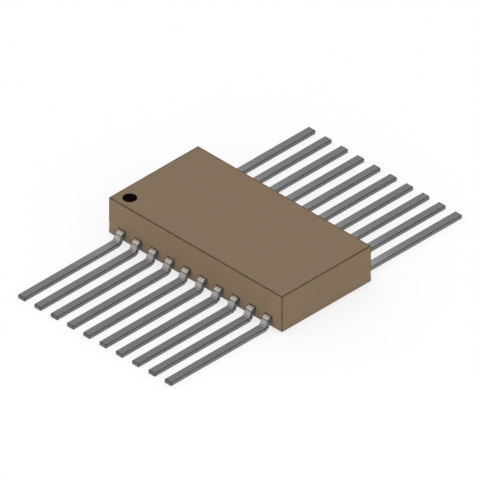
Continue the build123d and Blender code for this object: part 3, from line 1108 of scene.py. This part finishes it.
class FLATPACK_OT_effects(bpy.types.Operator):
    """Make the shared grain, edge tone and rolled line effects"""

    bl_idname = "flatpack.effects"
    bl_label = "Effects"

    def execute(self, context):
        make_grain_group()
        make_edge_group()
        make_rolled_group()
        return {"FINISHED"}


class FLATPACK_OT_ceramic(bpy.types.Operator):
    """Make the ceramic base and cap"""

    bl_idname = "flatpack.ceramic"
    bl_label = "Ceramic base and cap"

    def execute(self, context):
        ceramic = context.scene.flatpack_ceramic
        material = ceramic_material(ceramic)
        for name, surface in (("ceramic_base", base_surface), ("ceramic_cap", cap_surface)):
            points, faces, rim = surface(ceramic)
            add_piece(f"pressed_{name}", points, faces, material, [name], {"rim": rim})
        return {"FINISHED"}


class FLATPACK_OT_glass(bpy.types.Operator):
    """Give the sealing glass its finish"""

    bl_idname = "flatpack.glass"
    bl_label = "Sealing glass"

    def execute(self, context):
        dress_nodes(glass_material(context.scene.flatpack_ceramic), ["seal_glass"])
        return {"FINISHED"}


class FLATPACK_OT_leads(bpy.types.Operator):
    """Make the two rows of formed leads, with the glass round their roots"""

    bl_idname = "flatpack.leads"
    bl_label = "Leads"

    def execute(self, context):
        leads = context.scene.flatpack_leads
        ceramic = context.scene.flatpack_ceramic
        material = lead_material(leads)
        skirt = skirt_material(ceramic)
        last = (leads.per_row - 1) / 2
        for number in range(1, 2 * leads.per_row + 1):
            place = last - (number - 1) % leads.per_row
            turned = -1 if number <= leads.per_row else 1
            points, faces, masks = lead_surface(leads, ceramic, place, turned, number)
            name = f"lead_{number:02d}"
            add_piece(f"formed_{name}", points, faces, material, [name], masks)
            points, faces = skirt_surface(leads, ceramic, place, turned)
            add_piece(f"glass_skirt_{number:02d}", points, faces, skirt, [], {})
        return {"FINISHED"}


class FLATPACK_OT_dot(bpy.types.Operator):
    """Make the ink dot beside lead 1"""

    bl_idname = "flatpack.dot"
    bl_label = "Ink dot"

    def execute(self, context):
        ink = context.scene.flatpack_ink
        points, faces = dot_surface(ink)
        add_piece("ink_dot", points, faces, ink_material(ink), ["pin_one_dot"], {})
        return {"FINISHED"}


class FLATPACK_OT_inside(bpy.types.Operator):
    """Give the die, its bed and the bond wires their finish"""

    bl_idname = "flatpack.inside"
    bl_label = "Die and wires"

    def execute(self, context):
        inside = context.scene.flatpack_inside
        leads = context.scene.flatpack_leads
        wires = [f"bond_wire_{number:02d}" for number in range(1, 2 * leads.per_row + 1)]
        dress_nodes(die_material(inside, leads), ["die"])
        dress_nodes(bed_material(inside), ["die_attach"])
        dress_nodes(wire_material(inside), wires)
        return {"FINISHED"}


class FLATPACK_OT_stage(bpy.types.Operator):
    """Make the floor, the light and the camera"""

    bl_idname = "flatpack.stage"
    bl_label = "Stage"

    def execute(self, context):
        stage = context.scene.flatpack_stage
        self.make_floor(stage)
        self.make_world(context, stage)
        self.make_lamp(stage)
        self.make_camera(context, stage)
        context.scene.view_settings.view_transform = "Standard"
        return {"FINISHED"}

    def make_floor(self, stage):
        half = stage.floor_size / 2
        level = -stage.floor_gap
        corners = [(-half, -half, level), (half, -half, level), (half, half, level), (-half, half, level)]
        mesh = bpy.data.meshes.new("floor")
        mesh.from_pydata(corners, [], [(0, 1, 2, 3)])
        mesh.materials.append(floor_material(stage))
        floor = place_object("floor", mesh)

    def make_world(self, context, stage):
        world = bpy.data.worlds.new("Soft white studio")
        context.scene.world = world
        tree, surface = empty_tree(world, "ShaderNodeOutputWorld")
        way = tree.nodes.new("ShaderNodeTexCoord").outputs["Generated"]
        light = ramp(tree, split(tree, way)["Z"], 0.0, 1.0, stage.horizon_light, stage.zenith_light)
        plain_white = 1.0
        inputs = {0: seen_directly(tree), 2: light, 3: plain_white}
        strength = add_node(tree, "ShaderNodeMix", inputs, data_type="FLOAT").outputs[0]
        inputs = {"Color": (1, 1, 1, 1), "Strength": strength}
        give(tree, surface, add_node(tree, "ShaderNodeBackground", inputs).outputs[0])

    def make_lamp(self, stage):
        lamp = bpy.data.lights.new("soft_key", "AREA")
        lamp.energy = stage.key_power
        lamp.size = stage.key_size
        way = Vector(stage.key_way).normalized()
        self.point_at_aim(place_object("soft_key", lamp), stage, way, stage.key_distance)

    def make_camera(self, context, stage):
        camera = bpy.data.cameras.new("camera")
        camera.type = "ORTHO"
        camera.ortho_scale = stage.picture_width
        camera.clip_start = MM
        level = math.cos(stage.elevation)
        right = math.sin(stage.azimuth) * level
        near = math.cos(stage.azimuth) * level
        viewer = place_object("camera", camera)
        way = Vector((right, -near, math.sin(stage.elevation)))
        self.point_at_aim(viewer, stage, way, stage.camera_distance)
        context.scene.camera = viewer

    def point_at_aim(self, thing, stage, way, distance):
        """Puts a lamp or camera at a distance from the aim, facing it."""
        thing.location = Vector(stage.aim) + way * distance
        thing.rotation_euler = (-way).to_track_quat("-Z", "Y").to_euler()


class FLATPACK_PT_panel(bpy.types.Panel):
    """The flat pack's pieces and their sizes and colours"""

    bl_label = "Ceramic flat pack"
    bl_idname = "FLATPACK_PT_panel"
    bl_space_type = "VIEW_3D"
    bl_region_type = "UI"
    bl_category = "Flat Pack"

    def draw(self, context):
        for operator in OPERATORS:
            self.layout.operator(operator.bl_idname)
        for name in SETTINGS:
            settings = getattr(context.scene, name)
            box = self.layout.box()
            for key in settings.__annotations__:
                box.prop(settings, key)


SETTINGS = {
    "flatpack_ceramic": FlatPackCeramic,
    "flatpack_leads": FlatPackLeads,
    "flatpack_ink": FlatPackInk,
    "flatpack_inside": FlatPackInside,
    "flatpack_stage": FlatPackStage,
}
OPERATORS = (
    FLATPACK_OT_effects,
    FLATPACK_OT_ceramic,
    FLATPACK_OT_glass,
    FLATPACK_OT_leads,
    FLATPACK_OT_dot,
    FLATPACK_OT_inside,
    FLATPACK_OT_stage,
)


def register():
    for kind in (*SETTINGS.values(), *OPERATORS, FLATPACK_PT_panel):
        bpy.utils.register_class(kind)
    for name, kind in SETTINGS.items():
        setattr(bpy.types.Scene, name, PointerProperty(type=kind))


def unregister():
    for name in SETTINGS:
        delattr(bpy.types.Scene, name)
    for kind in (FLATPACK_PT_panel, *reversed(OPERATORS), *reversed(SETTINGS.values())):
        bpy.utils.unregister_class(kind)


def main():
    register()
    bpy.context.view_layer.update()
    bpy.ops.flatpack.effects()
    bpy.ops.flatpack.ceramic()
    bpy.ops.flatpack.glass()
    bpy.ops.flatpack.leads()
    bpy.ops.flatpack.dot()
    bpy.ops.flatpack.inside()
    bpy.ops.flatpack.stage()


if __name__ == "__main__":
    main()
